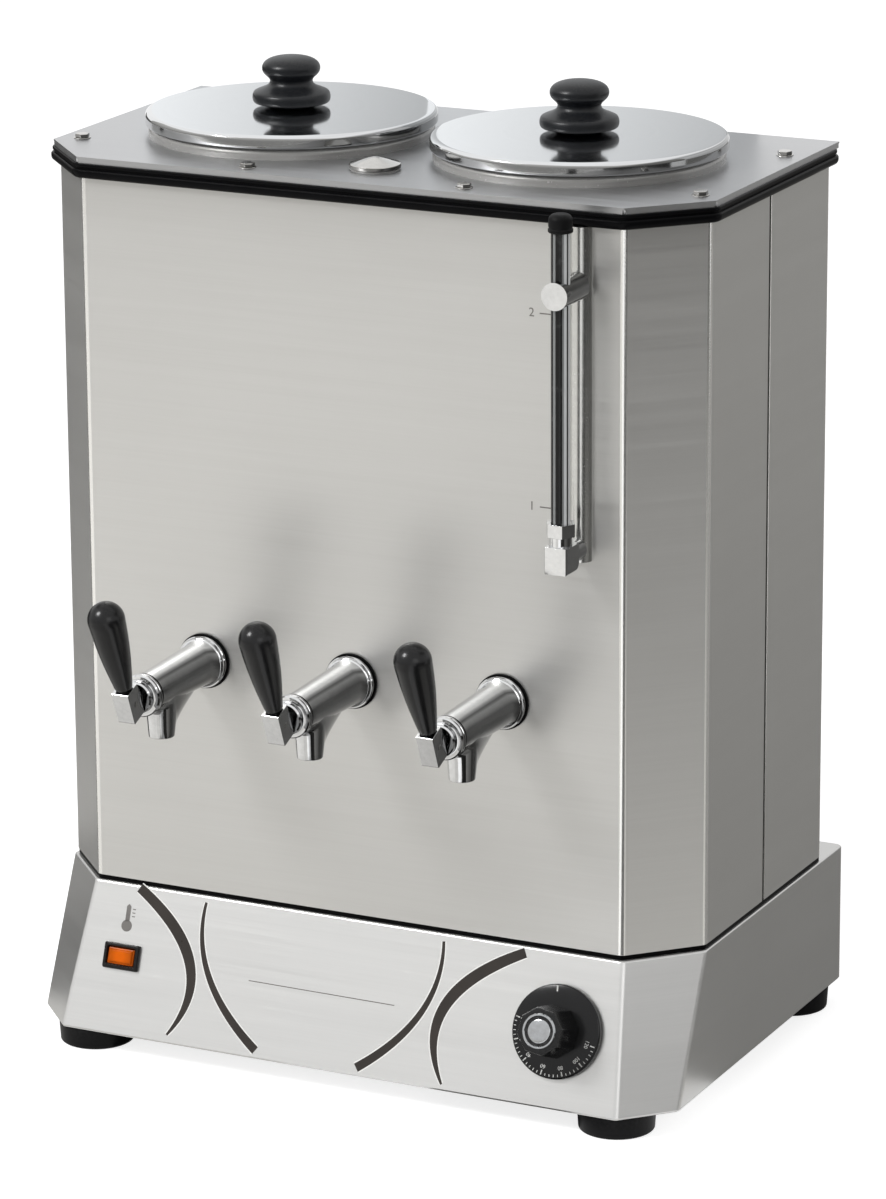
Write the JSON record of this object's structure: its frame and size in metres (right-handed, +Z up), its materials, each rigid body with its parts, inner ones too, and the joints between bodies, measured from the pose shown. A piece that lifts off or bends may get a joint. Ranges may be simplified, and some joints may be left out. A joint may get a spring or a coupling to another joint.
{
  "type": "coffee urn",
  "caption": "Counter-top coffee urn: lidded pots hang in a heated water tank in a folded steel casing, with lever taps, a sight glass, a thermostat dial and an indicator light.",
  "frame": {"origin": "centre of the whole object's footprint box (tap handles to cord gland, side to side), on the surface that its feet stand on", "axes": "+Z up, -Y towards the taps and the user, +X to the user's right"},
  "size_m": [0.4724, 0.4354, 0.6486],
  "materials": {
    "satin_steel": "satin brushed sheet",
    "pale_steel": "pale satin sheet",
    "tank_steel": "plain mill sheet",
    "chrome": "polished chrome plate",
    "zinc": "zinc plated",
    "black_rubber": "black rubber",
    "black_plastic": "black moulded plastic",
    "pale_plastic": "pale moulded plastic",
    "lens": "orange translucent lens",
    "glass": "clear glass"
  },
  "bodies": {
    "root": {"base_floor": "tank_steel", "base_gasket": "black_rubber", "base_shell": "satin_steel", "centre_tap_body": "chrome", "cord_gland": "black_plastic", "deck_plate": "pale_steel", "deck_screws": "zinc", "deck_trim": "black_rubber", "element_nuts": "zinc", "feet": "black_rubber", "filler_neck": "tank_steel", "foot_screws": "zinc", "front_casing": "satin_steel", "gauge_block": "chrome", "gauge_bracket": "chrome", "gauge_cap": "black_rubber", "gauge_gland_nut": "chrome", "gauge_glass": "glass", "gauge_guard": "chrome", "gauge_nuts": "zinc", "heating_element": "tank_steel", "indicator_bezel": "black_plastic", "indicator_lens": "lens", "left_pot": "pale_steel", "left_tap_body": "chrome", "outlet_pipes": "tank_steel", "rear_casing": "satin_steel", "right_pot": "pale_steel", "right_tap_body": "chrome", "tank_cradles": "tank_steel", "tap_bonnet_seals": "black_rubber", "tap_bonnets": "chrome", "tap_gaskets": "black_rubber", "tap_locknuts": "chrome", "tap_springs": "zinc", "terminal_block": "pale_plastic", "thermostat": "zinc", "top_frame": "tank_steel", "water_tank": "tank_steel"},
    "left_lid": {"left_lid": "pale_steel", "left_lid_knob": "black_plastic"},
    "right_lid": {"right_lid": "pale_steel", "right_lid_knob": "black_plastic"},
    "filler_cap": {"filler_cap": "black_plastic"},
    "dial": {"dial": "black_plastic", "dial_cap": "chrome", "thermostat_shaft": "zinc"},
    "left_tap_stem": {"left_tap_stem": "chrome"},
    "left_tap_lever": {"left_tap_lever": "chrome", "left_tap_handle": "black_plastic", "left_tap_pin": "chrome"},
    "centre_tap_stem": {"centre_tap_stem": "chrome"},
    "centre_tap_lever": {"centre_tap_lever": "chrome", "centre_tap_handle": "black_plastic", "centre_tap_pin": "chrome"},
    "right_tap_stem": {"right_tap_stem": "chrome"},
    "right_tap_lever": {"right_tap_lever": "chrome", "right_tap_handle": "black_plastic", "right_tap_pin": "chrome"}
  },
  "joints": [
    {"name": "left_lid_lift", "type": "slide", "parent": "root", "child": "left_lid", "axis": [0, 0, 1], "range_m": [0, 0.08]},
    {"name": "right_lid_lift", "type": "slide", "parent": "root", "child": "right_lid", "axis": [0, 0, 1], "range_m": [0, 0.08]},
    {"name": "filler_cap_lift", "type": "slide", "parent": "root", "child": "filler_cap", "axis": [0, 0, 1], "range_m": [0, 0.03]},
    {"name": "dial_turn", "type": "hinge", "parent": "root", "child": "dial", "pos_m": [0.154, -0.09583, 0.0625], "axis": [0, -0.9446, 0.3281], "range_deg": [-270, 0]},
    {"name": "left_stem_slide", "type": "slide", "parent": "root", "child": "left_tap_stem", "axis": [0, -1, 0], "range_m": [0, 0.004], "deforming": ["tap_springs"]},
    {"name": "left_lever_pull", "type": "hinge", "parent": "left_tap_stem", "child": "left_tap_lever", "pos_m": [-0.107, -0.18083, 0.2715], "axis": [1, 0, 0], "range_deg": [0, 36], "stiffness_Nm_per_rad": 0.6, "springref_deg": -11.46},
    {"name": "centre_stem_slide", "type": "slide", "parent": "root", "child": "centre_tap_stem", "axis": [0, -1, 0], "range_m": [0, 0.004]},
    {"name": "centre_lever_pull", "type": "hinge", "parent": "centre_tap_stem", "child": "centre_tap_lever", "pos_m": [0, -0.18083, 0.2715], "axis": [1, 0, 0], "range_deg": [0, 36], "stiffness_Nm_per_rad": 0.6, "springref_deg": -11.46},
    {"name": "right_stem_slide", "type": "slide", "parent": "root", "child": "right_tap_stem", "axis": [0, -1, 0], "range_m": [0, 0.004]},
    {"name": "right_lever_pull", "type": "hinge", "parent": "right_tap_stem", "child": "right_tap_lever", "pos_m": [0.107, -0.18083, 0.2715], "axis": [1, 0, 0], "range_deg": [0, 36], "stiffness_Nm_per_rad": 0.6, "springref_deg": -11.46}
  ],
  "couplings": [
    {"joint": "left_stem_slide", "follows": "left_lever_pull", "m_per_rad": 0.00636},
    {"joint": "centre_stem_slide", "follows": "centre_lever_pull", "m_per_rad": 0.00636},
    {"joint": "right_stem_slide", "follows": "right_lever_pull", "m_per_rad": 0.00636}
  ]
}
